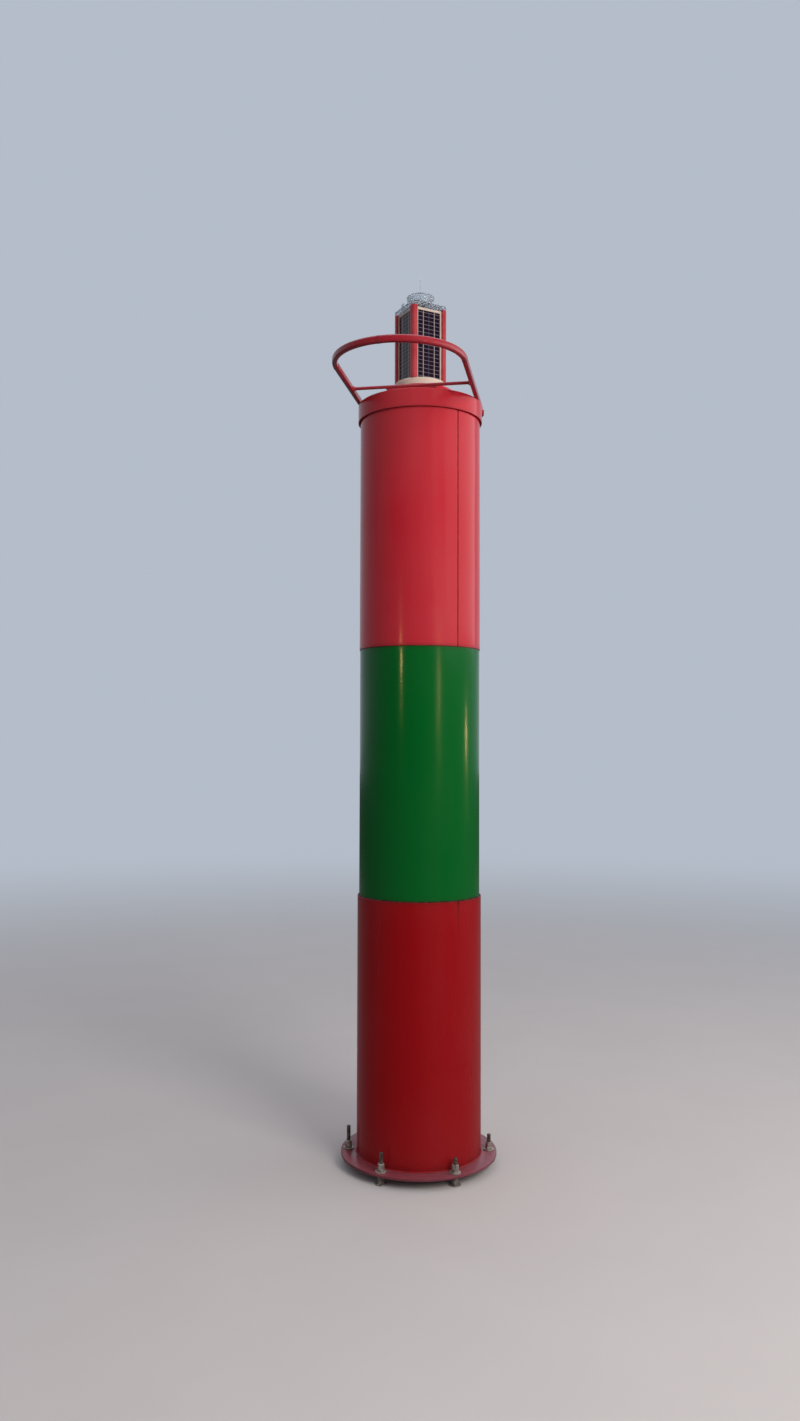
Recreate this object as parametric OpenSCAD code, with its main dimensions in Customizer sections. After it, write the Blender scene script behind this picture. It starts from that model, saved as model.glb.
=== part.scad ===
// Quay-side navigation light beacon: banded steel column, lid with a U-shaped guard, square solar lantern.
// Millimetres, +Z up. Origin on the floor under the column's axis; -Y is the side seen in the photograph.
// Directions around the column are degrees from -Y, positive towards +X.

/* [Base plate and anchors] */
// Radius of the round base plate
plate_r = 311; // [280:1:360]
// Thickness of the base plate
plate_t = 10; // [6:1:25]
// Height of the plate's underside above the floor
plate_gap = 36; // [30:1:60]
// Number of anchor studs
stud_count = 6; // [4:1:8]
// Radius of the circle the studs stand on
stud_circle_r = 281; // [270:1:330]
// Radius of a stud
stud_r = 8; // [6:0.5:12]
// Turn of the stud circle from the front
stud_turn = -31.5; // [-60:0.5:60]
// Height of the tallest stud above the plate
stud_top = 90; // [60:1:140]
// How much shorter the other studs may be
stud_spread = 33; // [0:1:40]
// Clearance round a stud in the plate's holes
stud_clearance = 1.5; // [1:0.25:3]
// Clearance round a stud in a washer
washer_clearance = 1.2; // [1.2:0.1:2]
// How much thinner a stud is along its thread
thread_cut = 0.3; // [0.2:0.05:0.6]
// Clearance between a nut and the thread
thread_clearance = 0.3; // [0.2:0.05:0.5]
// Width of a nut across its flats
nut_flats = 24; // [18:1:36]
// Height of one nut
nut_h = 14; // [8:1:20]
// Radius of a washer
washer_r = 22; // [16:1:26]
// Thickness of a washer
washer_t = 4; // [2:0.5:6]

/* [Column] */
// Outer radius of the lower band
lower_r = 248.5; // [235:0.5:260]
// Outer radius of the middle band
middle_r = 242; // [230:0.5:255]
// Outer radius of the upper band
upper_r = 244; // [230:0.5:255]
// Height of the lower band
lower_h = 1015; // [700:5:1300]
// Height of the middle band
middle_h = 985; // [700:5:1300]
// Height of the upper band
upper_h = 994; // [700:5:1300]
// Wall thickness of the bands
wall_t = 5; // [4:0.5:10]
// Width of the joint rings inside the bands
ring_w = 32; // [20:1:60]
// Thickness of the joint rings
ring_t = 8; // [5:1:16]

/* [Lid] */
// Outer radius of the lid
lid_r = 252.5; // [250:0.5:270]
// Thickness of the lid's top
lid_t = 6; // [4:0.5:12]
// Height of the lid's rim, top included
rim_h = 72; // [40:1:120]
// Thickness of the lid's rim
rim_t = 5; // [3:0.5:6]

/* [Guard] */
// Direction the guard points in
guard_turn = -9.8; // [-45:0.1:45]
// Half the distance between the legs, and the bend's radius
guard_r = 238; // [200:1:245]
// Distance from the axis forward to the bend
guard_reach = 490; // [350:5:600]
// Distance the legs run back behind the axis
guard_back = 106; // [80:1:110]
// Width of the tube
tube_w = 20; // [14:1:24]
// Height of the tube
tube_h = 27; // [18:1:34]
// Corner radius of the tube
tube_corner = 8; // [3:0.5:9]
// Radius of the crossbar
bar_r = 6.5; // [4:0.5:9]
// Distance of the crossbar in front of the axis
bar_reach = 231; // [200:1:240]
// Length of the tab under the crossbar
tab_l = 206; // [80:2:260]
// Slant of the tab's ends
tab_slant = 9; // [0:1:20]
// Thickness of the tab
tab_t = 6; // [4:1:12]
// Depth of the lugs below the lid's top
lug_h = 23; // [15:1:60]
// Thickness of the lugs
lug_t = 13; // [8:1:20]
// Start of a lug, in degrees from the guard's direction
lug_from = 106; // [104:1:110]
// Width of a lug, in degrees
lug_width = 10; // [6:1:14]

/* [Pedestal] */
// Radius of the round pedestal
pedestal_r = 137; // [120:1:170]
// Height of the pedestal, plate included
pedestal_h = 55; // [35:1:120]
// Thickness of the pedestal's plate
pedestal_plate_t = 8; // [5:1:14]
// Wall thickness of the pedestal
pedestal_wall = 5; // [3:1:10]
// How far the pedestal's plate reaches past its drum
pedestal_edge = 1; // [0.5:0.5:4]

/* [Lantern] */
// Turn of the lantern
lantern_turn = 28.5; // [0:0.1:90]
// How far the round foot reaches past the body's sides
foot_reach = 24; // [22:1:34]
// Height of the round foot
foot_h = 37; // [20:1:60]
// Width of the square body
body_w = 162; // [130:1:170]
// Height of the square body
body_h = 296; // [200:2:400]
// Width of a corner post
post_w = 23; // [18:1:34]
// Radius of a post's outer corner
post_corner = 11; // [4:0.5:11]
// Width of a panel frame's side strips
frame_side = 7; // [3:0.5:10]
// Width of a panel frame's top strip
frame_head = 10; // [4:0.5:16]
// Width of a panel frame's bottom strip
frame_base = 5; // [3:0.5:16]
// Depth of a panel frame
frame_t = 6; // [3:0.5:8]
// Set-back of the frames behind the posts
frame_back = 9; // [1:0.5:10]
// Thickness of a panel's glass
pane_t = 4; // [2:0.5:5]
// Height of the cover's lower part between the posts
cover_lap = 5; // [3:1:20]
// Height of the cover above the posts
cover_h = 16.5; // [8:0.5:30]
// Width of a clip
clip_w = 12; // [8:1:20]
// Height of a clip
clip_h = 26; // [18:1:40]
// Height a clip stands above the cover
clip_rise = 8; // [2:0.5:12]
// Thickness of a clip
clip_t = 4; // [2:0.5:6]

/* [Lens] */
// Radius of the lens at its foot
lens_foot_r = 46; // [40:1:60]
// Radius of the lens at its top
lens_top_r = 57; // [45:1:65]
// Height of the lens
lens_h = 44; // [30:1:80]
// Wall thickness of the lens
lens_wall = 5; // [3:0.5:8]
// Thickness of the lens's top
lens_cap_t = 5; // [3:0.5:10]
// Radius of the light tower
tower_r = 17; // [10:1:26]
// Radius of the light tower's discs
tower_disc_r = 27; // [20:1:36]
// Number of discs on the light tower
tower_discs = 3; // [1:1:5]
// Radius of the bird spike
spike_r = 1.6; // [1:0.1:3]
// Height of the bird spike above the lens
spike_h = 82; // [30:1:150]

/* [View] */
// Which sub-part to draw

/* [Hidden] */

$fn = 96;

RED = [0.66, 0.09, 0.12];
GREEN = [0.06, 0.42, 0.17];
CREAM = [0.87, 0.82, 0.70];
ZINC = [0.60, 0.59, 0.56];
DARK = [0.07, 0.07, 0.11];
CLEAR = [0.80, 0.87, 0.90];
WHITE = [0.93, 0.93, 0.91];

// Cutters run past the faces they cut by this much
over = 1;

thread_r = stud_r - thread_cut;
plate_top = plate_gap + plate_t;
under_stack = plate_gap - washer_t * 2;
lower_top = plate_top + lower_h;
middle_top = lower_top + middle_h;
upper_top = middle_top + upper_h;
lid_top = upper_top + lid_t;
guard_z = lid_top + tube_h / 2;
pedestal_top = lid_top + pedestal_h;
foot_top = pedestal_top + foot_h;
body_top = foot_top + body_h;
cover_top = body_top + cover_h;
lens_top = cover_top + lens_h;
cap_top = lens_top + lens_cap_t;
half_body = body_w / 2;
foot_r = half_body + foot_reach;
panel_w = body_w - 2 * post_w;
panel_h = body_h - cover_lap;
pane_h = panel_h - frame_head - frame_base;
frame_face = half_body - frame_back;
frame_rear = frame_face - frame_t;

// Puts its children on every stud
module on_studs() {
    for (i = [0 : stud_count - 1])
        rotate([0, 0, stud_turn + i * 360 / stud_count]) translate([0, -stud_circle_r, 0]) children();
}

// Puts its children on the four sides of the lantern, face to -Y
module on_sides() {
    for (a = [0, 90, 180, 270]) rotate([0, 0, lantern_turn + a]) children();
}

// One washer with its bottom at height z
module washer(z) {
    translate([0, 0, z]) difference() {
        cylinder(r = washer_r, h = washer_t);
        translate([0, 0, -over]) cylinder(r = stud_r + washer_clearance, h = washer_t + 2 * over);
    }
}

// One hexagon nut with its bottom at height z
module nut(z, h) {
    translate([0, 0, z]) difference() {
        cylinder(d = nut_flats / cos(30), h = h, $fn = 6);
        translate([0, 0, -over]) cylinder(r = thread_r + thread_clearance, h = h + 2 * over);
    }
}

// Section of the guard's tube, centred
module tube_section() {
    w = tube_w / 2 - tube_corner;
    h = tube_h / 2 - tube_corner;
    square([2 * w, tube_h], center = true);
    square([tube_w, 2 * h], center = true);
    for (x = [-w, w], y = [-h, h]) translate([x, y]) circle(r = tube_corner);
}

// Round steel band with a joint ring at each end
module shell(r, z, h) {
    inner = r - wall_t;
    bore = middle_r - wall_t - ring_w;
    translate([0, 0, z]) rotate_extrude() polygon([
        [bore, 0], [r, 0], [r, h], [bore, h], [bore, h - ring_t],
        [inner, h - ring_t], [inner, ring_t], [bore, ring_t]]);
}

module base_plate() {
    color(RED) difference() {
        translate([0, 0, plate_gap]) cylinder(r = plate_r, h = plate_t);
        on_studs() translate([0, 0, plate_gap - over])
            cylinder(r = stud_r + stud_clearance, h = plate_t + 2 * over);
    }
}

module anchor_studs() {
    // Studs from the front left on: heights that differ as hand-set ones do
    share = [0.5, 1, 0.85, 0.3, 0.6, 0];
    color(ZINC) for (i = [0 : stud_count - 1])
        rotate([0, 0, stud_turn + i * 360 / stud_count]) translate([0, -stud_circle_r, 0]) {
            cylinder(r = stud_r, h = washer_t);
            cylinder(r = thread_r, h = plate_top + stud_top - stud_spread * share[i % len(share)]);
        }
}

module foot_washers() {
    color(ZINC) on_studs() washer(0);
}

module levelling_nuts() {
    color(ZINC) on_studs() nut(washer_t, under_stack);
}

module under_washers() {
    color(ZINC) on_studs() washer(plate_gap - washer_t);
}

module clamp_washers() {
    color(ZINC) on_studs() washer(plate_top);
}

module clamp_nuts() {
    color(ZINC) on_studs() for (k = [0, 1]) nut(plate_top + washer_t + k * nut_h, nut_h);
}

module shell_lower() {
    color(RED) shell(lower_r, plate_top, lower_h);
}

module shell_middle() {
    color(GREEN) shell(middle_r, lower_top, middle_h);
}

module shell_upper() {
    color(RED) shell(upper_r, middle_top, upper_h);
}

module lid() {
    color(RED) translate([0, 0, lid_top - rim_h]) difference() {
        cylinder(r = lid_r, h = rim_h);
        translate([0, 0, -over]) cylinder(r = lid_r - rim_t, h = rim_h - lid_t + over);
    }
}

module guard_bend() {
    color(RED) rotate([0, 0, guard_turn]) translate([0, -guard_reach, guard_z])
        rotate([0, 0, 180]) rotate_extrude(angle = 180) translate([guard_r, 0]) tube_section();
}

// One straight leg; side is -1 for left, 1 for right
module guard_leg(side) {
    rotate([0, 0, guard_turn]) translate([side * guard_r, guard_back, guard_z])
        rotate([90, 0, 0]) linear_extrude(height = guard_back + guard_reach) tube_section();
}

module guard_leg_left() {
    color(RED) guard_leg(-1);
}

module guard_leg_right() {
    color(RED) guard_leg(1);
}

module guard_crossbar() {
    length = 2 * guard_r - tube_w;
    color(RED) rotate([0, 0, guard_turn]) translate([-length / 2, -bar_reach, guard_z])
        rotate([0, 90, 0]) cylinder(r = bar_r, h = length);
}

module guard_tab() {
    h = tube_h / 2 - bar_r;
    color(RED) rotate([0, 0, guard_turn]) translate([0, -bar_reach + tab_t / 2, lid_top])
        rotate([90, 0, 0]) linear_extrude(height = tab_t)
            polygon([[-tab_l / 2 + tab_slant, 0], [tab_l / 2 - tab_slant, 0], [tab_l / 2, h], [-tab_l / 2, h]]);
}

module guard_lugs() {
    gap = 0.3;
    color(RED) for (side = [-1, 1])
        rotate([0, 0, guard_turn - 90 + side * (lug_from + lug_width / 2) - lug_width / 2])
            rotate_extrude(angle = lug_width)
                translate([lid_r + gap, lid_top - lug_h]) square([lug_t, lug_h]);
}

module pedestal_drum() {
    h = pedestal_h - pedestal_plate_t;
    drum_r = pedestal_r - pedestal_edge;
    color(RED) translate([0, 0, lid_top]) difference() {
        cylinder(r = drum_r, h = h);
        translate([0, 0, -over]) cylinder(r = drum_r - pedestal_wall, h = h + 2 * over);
    }
}

module pedestal_plate() {
    color(RED) translate([0, 0, pedestal_top - pedestal_plate_t]) cylinder(r = pedestal_r, h = pedestal_plate_t);
}

module lantern_foot() {
    color(CREAM) translate([0, 0, pedestal_top]) cylinder(r = foot_r, h = foot_h);
}

module lantern_posts() {
    inner = half_body - post_w;
    centre = half_body - post_corner;
    color(RED) on_sides() translate([0, 0, foot_top]) linear_extrude(height = body_h) {
        translate([inner, inner]) square([post_w, post_w - post_corner]);
        translate([inner, inner]) square([post_w - post_corner, post_w]);
        translate([centre, centre]) circle(r = post_corner);
    }
}

module panel_frames() {
    color(CREAM) on_sides() translate([-panel_w / 2, -frame_face, foot_top]) difference() {
        cube([panel_w, frame_t, panel_h]);
        translate([frame_side, -over, frame_base])
            cube([panel_w - 2 * frame_side, frame_t + 2 * over, pane_h]);
    }
}

module panel_glass() {
    color(DARK) on_sides() translate([-panel_w / 2 + frame_side, -frame_rear - pane_t, foot_top + frame_base])
        cube([panel_w - 2 * frame_side, pane_t, pane_h]);
}

module lantern_core() {
    color(DARK) rotate([0, 0, lantern_turn]) translate([0, 0, foot_top]) {
        translate([-frame_rear, -panel_w / 2, 0]) cube([2 * frame_rear, panel_w, panel_h]);
        translate([-panel_w / 2, -frame_rear, 0]) cube([panel_w, 2 * frame_rear, panel_h]);
    }
}

module top_cover() {
    lap_face = half_body - frame_back;
    centre = half_body - post_corner;
    color(CLEAR) rotate([0, 0, lantern_turn]) {
        translate([-lap_face, -panel_w / 2, body_top - cover_lap]) cube([2 * lap_face, panel_w, cover_lap]);
        translate([-panel_w / 2, -lap_face, body_top - cover_lap]) cube([panel_w, 2 * lap_face, cover_lap]);
        translate([0, 0, body_top]) linear_extrude(height = cover_h) {
            square([body_w, 2 * centre], center = true);
            square([2 * centre, body_w], center = true);
            for (x = [-centre, centre], y = [-centre, centre]) translate([x, y]) circle(r = post_corner);
        }
    }
}

module cover_clips() {
    color(CLEAR) on_sides() translate([-clip_w / 2, -half_body - clip_t, cover_top + clip_rise - clip_h])
        cube([clip_w, clip_t, clip_h]);
}

module lens_drum() {
    color(CLEAR) translate([0, 0, cover_top]) rotate_extrude() polygon([
        [lens_foot_r - lens_wall, 0], [lens_foot_r, 0], [lens_top_r, lens_h], [lens_top_r - lens_wall, lens_h]]);
}

module lens_cap() {
    color(CLEAR) translate([0, 0, lens_top]) cylinder(r = lens_top_r, h = lens_cap_t);
}

module light_tower() {
    pitch = lens_h / (tower_discs + 1);
    disc_t = 3;
    color(WHITE) translate([0, 0, cover_top]) {
        cylinder(r = tower_r, h = lens_h);
        for (i = [1 : tower_discs]) translate([0, 0, i * pitch - disc_t / 2]) cylinder(r = tower_disc_r, h = disc_t);
    }
}

module bird_spike() {
    color(ZINC) translate([0, 0, cap_top]) cylinder(r = spike_r, h = spike_h);
}

base_plate();
anchor_studs();
foot_washers();
levelling_nuts();
under_washers();
clamp_washers();
clamp_nuts();
shell_lower();
shell_middle();
shell_upper();
lid();
guard_bend();
guard_leg_left();
guard_leg_right();
guard_crossbar();
guard_tab();
guard_lugs();
pedestal_drum();
pedestal_plate();
lantern_foot();
lantern_posts();
panel_frames();
panel_glass();
lantern_core();
top_cover();
cover_clips();
lens_drum();
lens_cap();
light_tower();
bird_spike();
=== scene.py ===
"""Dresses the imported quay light: enamelled bands, lid, guard, anchors, solar lantern and a studio round it.

Lengths are metres, in the part's own frame: +Z up, the floor at 0, the axis of the column at x = y = 0.
Directions round the column are degrees from -Y, positive towards +X.
"""

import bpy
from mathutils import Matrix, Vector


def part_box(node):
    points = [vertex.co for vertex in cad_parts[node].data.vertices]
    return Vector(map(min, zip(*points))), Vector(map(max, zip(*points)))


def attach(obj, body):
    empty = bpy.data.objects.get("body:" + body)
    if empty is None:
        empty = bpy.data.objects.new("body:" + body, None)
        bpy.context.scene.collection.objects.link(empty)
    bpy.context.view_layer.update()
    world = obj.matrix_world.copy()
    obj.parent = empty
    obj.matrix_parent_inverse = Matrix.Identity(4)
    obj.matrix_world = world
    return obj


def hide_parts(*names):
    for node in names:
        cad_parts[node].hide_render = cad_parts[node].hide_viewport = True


bl_info = {
    "name": "Quay light",
    "version": (1, 0, 0),
    "blender": (4, 5, 0),
    "location": "View3D > Sidebar > Quay light",
    "description": "Enamelled column, guard, anchors and solar lantern of a quay-side light, with a studio",
    "category": "Object",
}

import bmesh
import bpy
import numpy as np
from bpy.props import FloatProperty, FloatVectorProperty, IntProperty, PointerProperty
from mathutils import Vector

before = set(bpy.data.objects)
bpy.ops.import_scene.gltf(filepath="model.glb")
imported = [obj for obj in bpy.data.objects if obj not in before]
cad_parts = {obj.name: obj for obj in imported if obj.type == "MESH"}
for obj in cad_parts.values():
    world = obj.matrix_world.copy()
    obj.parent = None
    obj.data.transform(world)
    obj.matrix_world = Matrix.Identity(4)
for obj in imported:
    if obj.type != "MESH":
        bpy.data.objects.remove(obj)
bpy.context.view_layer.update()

TURN = 2 * np.pi
# The directions of the part's frame
X, Y, Z = np.eye(3)

# Sizes of the solids that their boxes don't give, as in the CAD
WALL = 0.005  # plate of the bands, the lid's rim and the pedestal
LID_T = 0.006  # top of the lid
WASHER_T = 0.004  # thickness of a washer
NUT_H = 0.014  # height of a clamping nut
HALF_BODY = 0.081  # half the width of the square lantern
POST = 0.023  # width of a corner post
POST_CORNER = 0.011  # radius of a post's outer corner


# Shapes


def low(node):
    """Lowest corner of a node of the frame."""
    return np.array(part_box(node)[0])


def high(node):
    """Highest corner of a node of the frame."""
    return np.array(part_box(node)[1])


def turned(points, degrees):
    """Points turned about the upright axis, anticlockwise seen from above."""
    a = np.radians(degrees)
    c, s = np.cos(a), np.sin(a)
    return np.asarray(points, float) @ np.array([[c, s, 0], [-s, c, 0], [0, 0, 1]])


def directions(count):
    """Evenly spaced directions once round, in radians."""
    return np.linspace(0, TURN, count, endpoint=False)


def around(radius, a, height):
    """Points by radius, direction a and height: x = r sin a, y = -r cos a."""
    return np.stack(np.broadcast_arrays(radius * np.sin(a), -radius * np.cos(a), height), -1)


def rounded(corners, radius, steps=5):
    """A polygon with soft corners: corner P becomes the curve A(1-t)^2 + 2Pt(1-t) + Bt^2.

    A and B lie one radius before and after P on its two sides. A radius of 0 leaves the corner sharp.
    """
    p = np.asarray(corners, float)
    r = np.broadcast_to(radius, len(p))[:, None]
    back, ahead = np.roll(p, 1, 0) - p, np.roll(p, -1, 0) - p
    a = (p + back * r / np.linalg.norm(back, axis=1, keepdims=True))[:, None]
    b = (p + ahead * r / np.linalg.norm(ahead, axis=1, keepdims=True))[:, None]
    t = np.linspace(0, 1, steps)[None, :, None]
    curve = (a * (1 - t) ** 2 + 2 * p[:, None] * t * (1 - t) + b * t**2).reshape(-1, 2)
    return curve[np.linalg.norm(curve - np.roll(curve, 1, 0), axis=1) > 1e-9]


def oblong(width, height, radius, steps=5):
    """A soft-cornered rectangle round the middle, anticlockwise."""
    w, h = width / 2, height / 2
    return rounded([[-w, -h], [w, -h], [w, h], [-w, h]], radius, steps)


def round_wall(profile, angles=128, ripple=None):
    """A profile of (radius, height) carried round the upright axis.

    ripple(r, a, z) adds to the radius, so a wall can be out of round or wavy.
    """
    a = directions(angles) if np.isscalar(angles) else np.asarray(angles)
    r, z = profile[:, :1] + 0 * a, profile[:, 1:] + 0 * a
    if ripple is not None:
        r = r + ripple(r, a[None, :], z)
    return around(r, a, z)


def carried(section, path, side, up, inset=0.0, shrink=1.0):
    """A closed section carried along a path.

    Point (i, j) = path i + shrink i * (section j - inset i * its outward normal), laid along side i and up i.
    """
    section, path = np.asarray(section, float), np.asarray(path, float)
    along = np.roll(section, -1, 0) - np.roll(section, 1, 0)
    along /= np.maximum(np.linalg.norm(along, axis=1, keepdims=True), 1e-12)
    normal = np.stack([along[:, 1], -along[:, 0]], 1)
    n = len(path)
    inset, shrink = np.broadcast_to(inset, n)[:, None, None], np.broadcast_to(shrink, n)[:, None, None]
    flat = (section[None] - inset * normal[None]) * shrink
    side, up = np.broadcast_to(side, (n, 3)), np.broadcast_to(up, (n, 3))
    return path[:, None] + flat[..., :1] * side[:, None] + flat[..., 1:] * up[:, None]


def bar(section, start, end, side, up, soft):
    """A straight bar with rounded rims: quarter circles of radius soft join its flat ends to its sides."""
    start, end = np.asarray(start, float), np.asarray(end, float)
    long = np.linalg.norm(end - start)
    t = np.linspace(0, np.pi / 2, 4)
    # From the middle of a flat end outwards: its pole, a ring on the flat, the quarter circle, the side
    s = np.concatenate([[0, 0], soft * (1 - np.cos(t)), [soft * 1.5]])
    inset = np.concatenate([[soft * 1.4] * 2, soft * (1 - np.sin(t)), [0]])
    shrink = np.array([0] + [1] * (len(s) - 1))
    path = start + (end - start) / long * np.concatenate([s, long - s[::-1]])[:, None]
    return carried(section, path, side, up, np.append(inset, inset[::-1]), np.append(shrink, shrink[::-1]))


def net(points, closed_rows=False, grime_and_shade=0.0, uv=None):
    """Four-sided faces between neighbouring points of a grid whose columns close on themselves.

    The sign of the volume tells which way the faces look, and they are turned to look outwards.
    """
    m, n = points.shape[:2]
    index = np.arange(m * n).reshape(m, n)
    index = np.vstack([index, index[:1]]) if closed_rows else index
    index = np.hstack([index, index[:, :1]])
    quads = np.stack([index[:-1, :-1], index[:-1, 1:], index[1:, 1:], index[1:, :-1]], -1).reshape(-1, 4)
    flat = points.reshape(-1, 3)
    a, b, c, d = (flat[quads[:, k]] - flat.mean(0) for k in range(4))
    if np.einsum("ij,ij->", a, np.cross(b, c) + np.cross(c, d)) < 0:
        quads = quads[:, ::-1]
    # Each point's share of soiling and of painted shade, which the finishes darken
    grime_and_shade = np.broadcast_to(grime_and_shade, (m, n)).ravel()
    uv = np.zeros((m * n, 2)) if uv is None else np.asarray(uv).reshape(-1, 2)
    return {"points": flat, "quads": quads, "grime_and_shade": grime_and_shade, "uv": uv}


def moved(part, shift, degrees=0.0):
    """A copy of a net, turned about the upright axis and then shifted."""
    return {**part, "points": turned(part["points"], degrees) + np.asarray(shift)}


def merged(mesh, distance, *more):
    """Merges the points of a mesh that lie within a distance, then runs more bmesh steps on it."""
    form = bmesh.new()
    form.from_mesh(mesh)
    bmesh.ops.remove_doubles(form, verts=form.verts, dist=distance)
    for step in more:
        step(form)
    form.to_mesh(mesh)
    form.free()


def hung(name, mesh, material, stands_for):
    """Puts a finished mesh into the scene and hangs it on the body."""
    mesh.shade_smooth()
    mesh.materials.clear()
    mesh.materials.append(material)
    made = bpy.data.objects.new(name, mesh)
    bpy.context.scene.collection.objects.link(made)
    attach(made, "root")
    if stands_for:
        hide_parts(*stands_for)
    return made


def piece(name, nets, material, stands_for=(), crisp=38.0):
    """Joins nets into a named piece, closes its seams and poles, and keeps edges past crisp degrees sharp."""
    first = np.cumsum([0] + [len(part["points"]) for part in nets])
    quads = np.concatenate([part["quads"] + k for part, k in zip(nets, first)])
    points, grime_and_shade, uv = (np.concatenate([part[key] for part in nets]) for key in ("points", "grime_and_shade", "uv"))
    mesh = bpy.data.meshes.new(name)
    mesh.from_pydata(points.tolist(), [], quads.tolist())
    mesh.attributes.new("grime_and_shade", "FLOAT", "POINT").data.foreach_set("value", grime_and_shade.astype(np.float32))
    mesh.uv_layers.new(name="face").data.foreach_set("uv", uv[quads.ravel()].ravel().astype(np.float32))
    merged(mesh, 2e-6)
    hung(name, mesh, material, stands_for)
    mesh.set_sharp_from_angle(angle=np.radians(crisp))


def softened(node, name, width, material):
    """A copy of a node with its loose triangles joined, its flat faces cleared and its sharp rims rounded."""
    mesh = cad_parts[node].data.copy()
    mesh.name = name
    merged(mesh, 1e-5, lambda form: bmesh.ops.dissolve_limit(form, angle_limit=np.radians(1.0),
                                                             verts=form.verts, edges=form.edges))
    rim = hung(name, mesh, material, [node]).modifiers.new("rim", "BEVEL")
    rim.width, rim.segments, rim.limit_method, rim.angle_limit = width, 3, "ANGLE", np.radians(50)
    rim.harden_normals = True


# Finishes

# Settings that many shader nodes share
SMOOTH = {"interpolation_type": "SMOOTHSTEP"}
COLOURS = {"data_type": "RGBA"}
TIMES = {"operation": "MULTIPLY"}
TIMES_PLUS = {"operation": "MULTIPLY_ADD"}
LARGER = {"operation": "MAXIMUM"}
HELD = {"use_clamp": True}


def linear(code):
    """An sRGB hex colour as linear light."""
    s = np.array([int(code[k : k + 2], 16) for k in (1, 3, 5)]) / 255
    return (*np.where(s <= 0.04045, s / 12.92, ((s + 0.055) / 1.055) ** 2.4).tolist(), 1.0)


def fill(tree, node, sockets):
    """Fills sockets: a number or colour is written, and an output, or a node's first live one, is linked."""
    for key, value in sockets.items():
        if isinstance(value, bpy.types.Node):
            value = next(out for out in value.outputs if out.enabled)
        if isinstance(value, bpy.types.NodeSocket):
            tree.links.new(value, node.inputs[key])
        else:
            node.inputs[key].default_value = value
    return node


def add(tree, kind, settings=None, sockets=None):
    """A new node with its settings and its filled sockets."""
    node = tree.nodes.new("ShaderNode" + kind)
    for key, value in (settings or {}).items():
        setattr(node, key, value)
    return fill(tree, node, sockets or {})


def blank(name):
    """A material with its node tree, its shader and the place on the object that its patterns read."""
    made = bpy.data.materials.new(name)
    made.use_nodes = True
    tree = made.node_tree
    return made, tree, tree.nodes["Principled BSDF"], add(tree, "TexCoord").outputs["Object"]


def spots(tree, place, size, start, end, detail=2.0, stretch=(1, 1, 1)):
    """Noise whose blotches are about size across, eased from 0 at start to 1 at end."""
    where = add(tree, "Mapping", {}, {"Vector": place, "Scale": stretch})
    noise = add(tree, "TexNoise", {}, {"Vector": where, "Scale": 0.5 / size, "Detail": detail})
    return add(tree, "MapRange", SMOOTH, {"Value": noise, "From Min": start, "From Max": end})


def relief(tree, place, scale, detail, strength, depth, below=None):
    """The lie of a surface that noise lifts by up to depth, on top of a coarser relief if there is one."""
    noise = add(tree, "TexNoise", {}, {"Vector": place, "Scale": scale, "Detail": detail})
    sockets = {"Height": noise, "Strength": strength, "Distance": depth}
    return add(tree, "Bump", {}, {**sockets, "Normal": below} if below else sockets)


def grime_and_shade_mask(tree):
    """The soiling, and the painted shade at joints and rims, that a piece's mesh marks, from 0 to 1."""
    return add(tree, "Attribute", {"attribute_name": "grime_and_shade"}).outputs["Fac"]


def gloss_enamel(name, colour, faded, dirt_and_shade_tint, dull=0.2, dust=0.0, wear_and_glare=0.3, film=0.22):
    """Brushed and rolled gloss enamel on steel plate.

    The eye sees a deep colour under a wet-looking film: soft reflections that waver with the film's orange
    peel (about 5 mm) and the plate's slow rolling waves (about 120 mm), pale chalky runs, and soiling with
    painted shade where the mesh marks joints and rims.
    """
    made, tree, shader, place = blank(name)
    chalk = spots(tree, place, 0.10, 0.42, 0.75, 4.0, (1, 1, 0.12))
    cloud = spots(tree, place, 0.30, 0.35, 0.70, 3.0)
    specks = spots(tree, place, 0.0022, 0.70, 0.78, 1.0)
    rough_edge = spots(tree, place, 0.012, 0.30, 0.62, 5.0)
    broken = add(tree, "Math", TIMES_PLUS, {0: rough_edge, 1: 0.45, 2: 0.65})
    soil_and_shade = add(tree, "Math", {**TIMES, **HELD}, {0: grime_and_shade_mask(tree), 1: broken})
    # Layers on the colour: each pattern's strength, the least of it, and its tint
    layers = [(chalk, wear_and_glare, 0.0, faded), (cloud, 0.22, 0.0, faded), (specks, 0.18, 0.0, dirt_and_shade_tint)]
    if dust:
        layers.append((spots(tree, place, 0.05, 0.25, 0.75, 5.0), dust, dust, dirt_and_shade_tint))
    paint = colour
    # The last layer is soiling, and painted shade at joints and rims, wherever the mesh marks them
    for pattern, strength, least, tint in [*layers, (soil_and_shade, 1.0, 0.0, dirt_and_shade_tint)]:
        share = add(tree, "Math", TIMES_PLUS, {0: pattern, 1: strength, 2: least})
        paint = add(tree, "Mix", COLOURS, {0: share, 6: paint, 7: tint})
    chalky = add(tree, "Math", TIMES_PLUS, {0: chalk, 1: 0.10, 2: dull})
    gloss = add(tree, "Math", {**TIMES_PLUS, **HELD}, {0: soil_and_shade, 1: 0.5, 2: chalky})
    plate_waves = relief(tree, place, 4.5, 1.0, 0.35, 0.006)
    peel = relief(tree, place, 110.0, 1.0, 0.30, 0.0004, plate_waves)
    fill(tree, shader, {"Base Color": paint, "Roughness": gloss, "IOR": 1.5, "Specular IOR Level": film,
                        "Normal": peel})
    return made


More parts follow.
